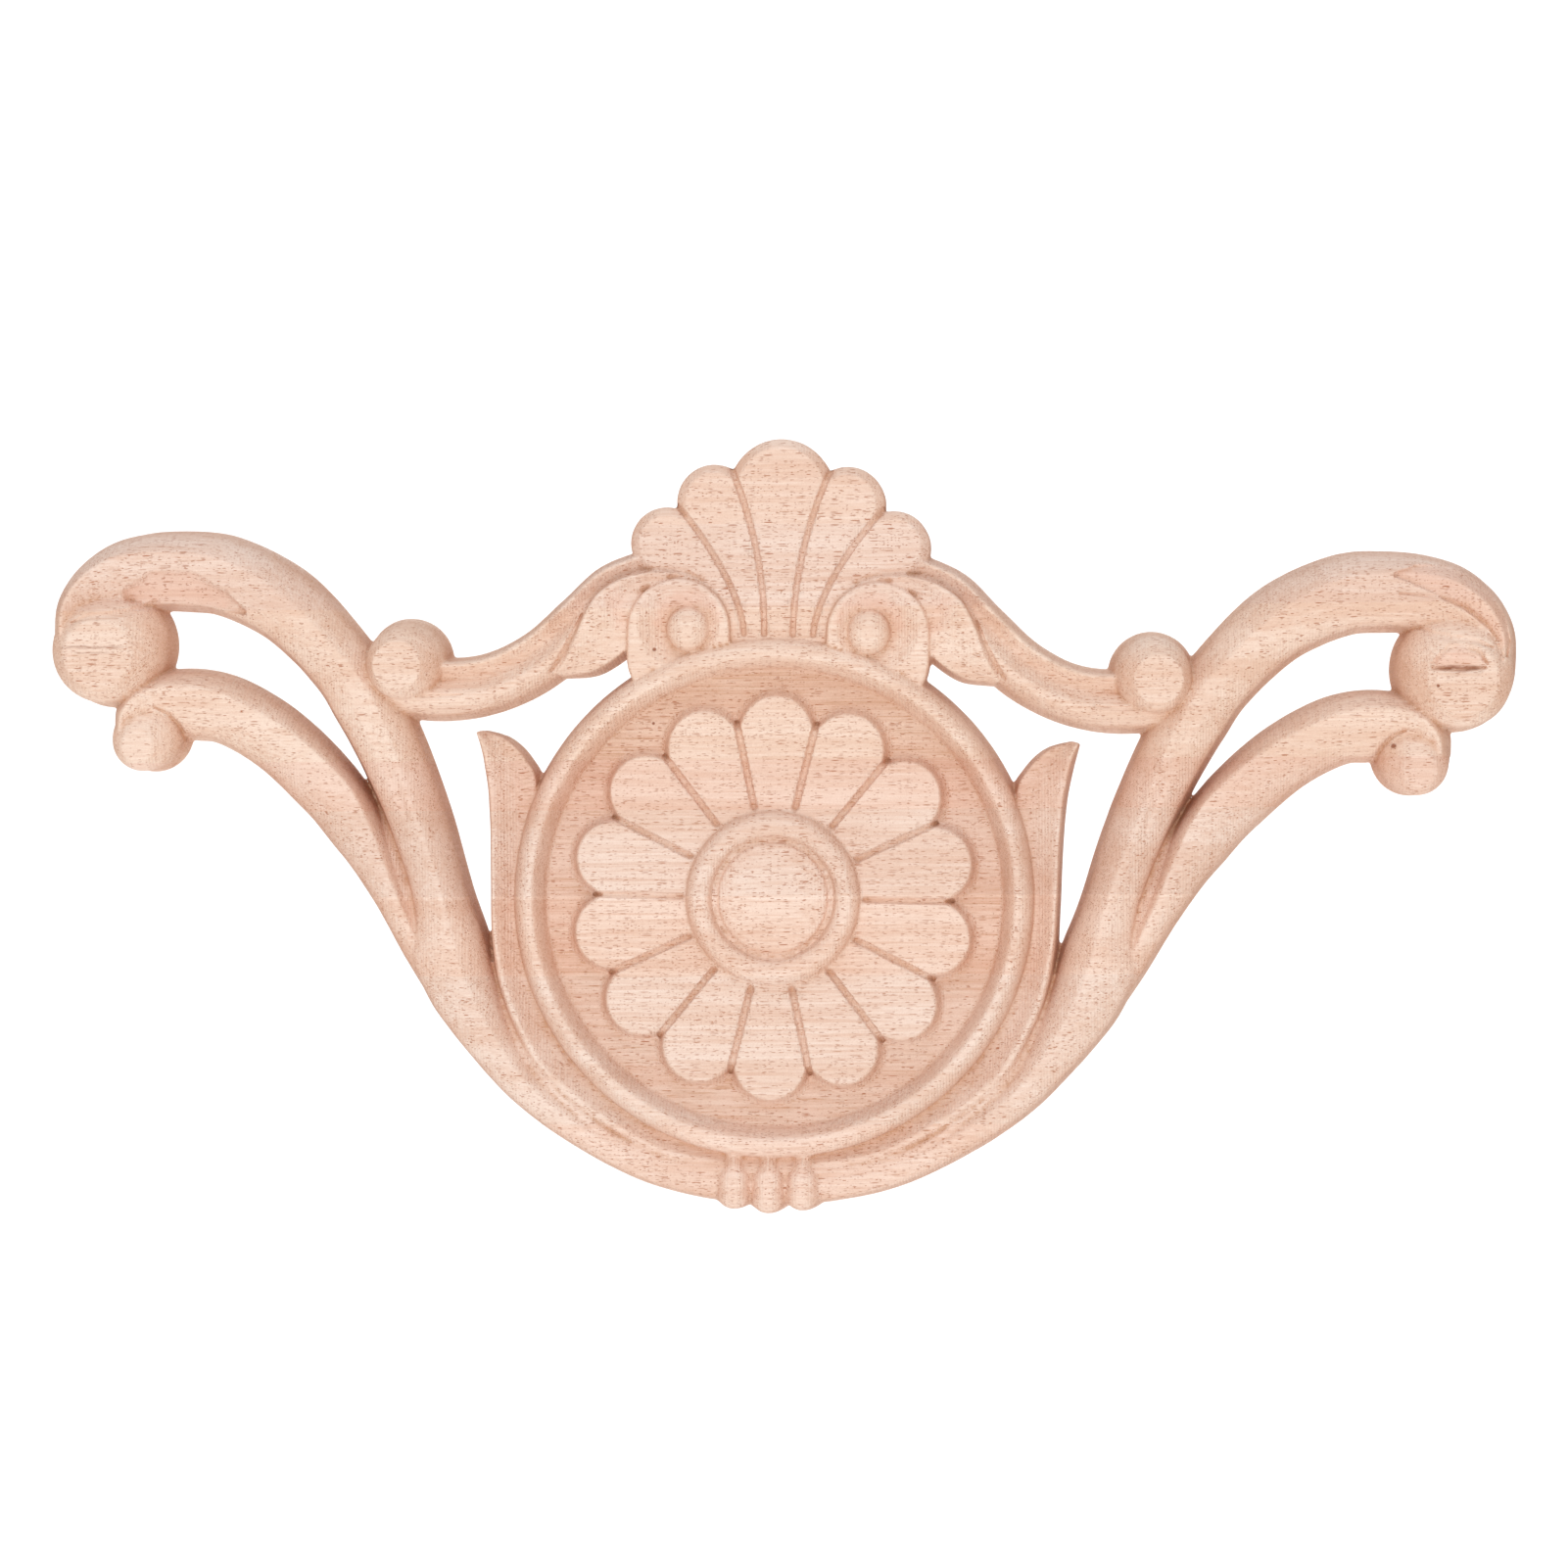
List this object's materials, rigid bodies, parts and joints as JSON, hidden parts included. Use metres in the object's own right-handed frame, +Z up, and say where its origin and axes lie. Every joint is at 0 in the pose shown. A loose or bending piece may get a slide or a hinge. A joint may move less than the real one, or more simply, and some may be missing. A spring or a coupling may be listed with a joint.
{
  "type": "carved wood applique",
  "caption": "Flat-backed carved wood applique for furniture, doors and mantels: a petalled rosette in a ring, flanked by open scroll arms with ball ends and crowned by a shell.",
  "frame": {"origin": "on the flat back, behind the middle of the rosette", "axes": "+X along the applique's length, +Z up, -Y the way the carved face looks, +Y out of the flat back"},
  "size_m": [0.3994, 0.02, 0.2105],
  "materials": {
    "wood": "raw sanded, matt"
  },
  "bodies": {
    "root": {"applique": "wood"}
  },
  "joints": []
}
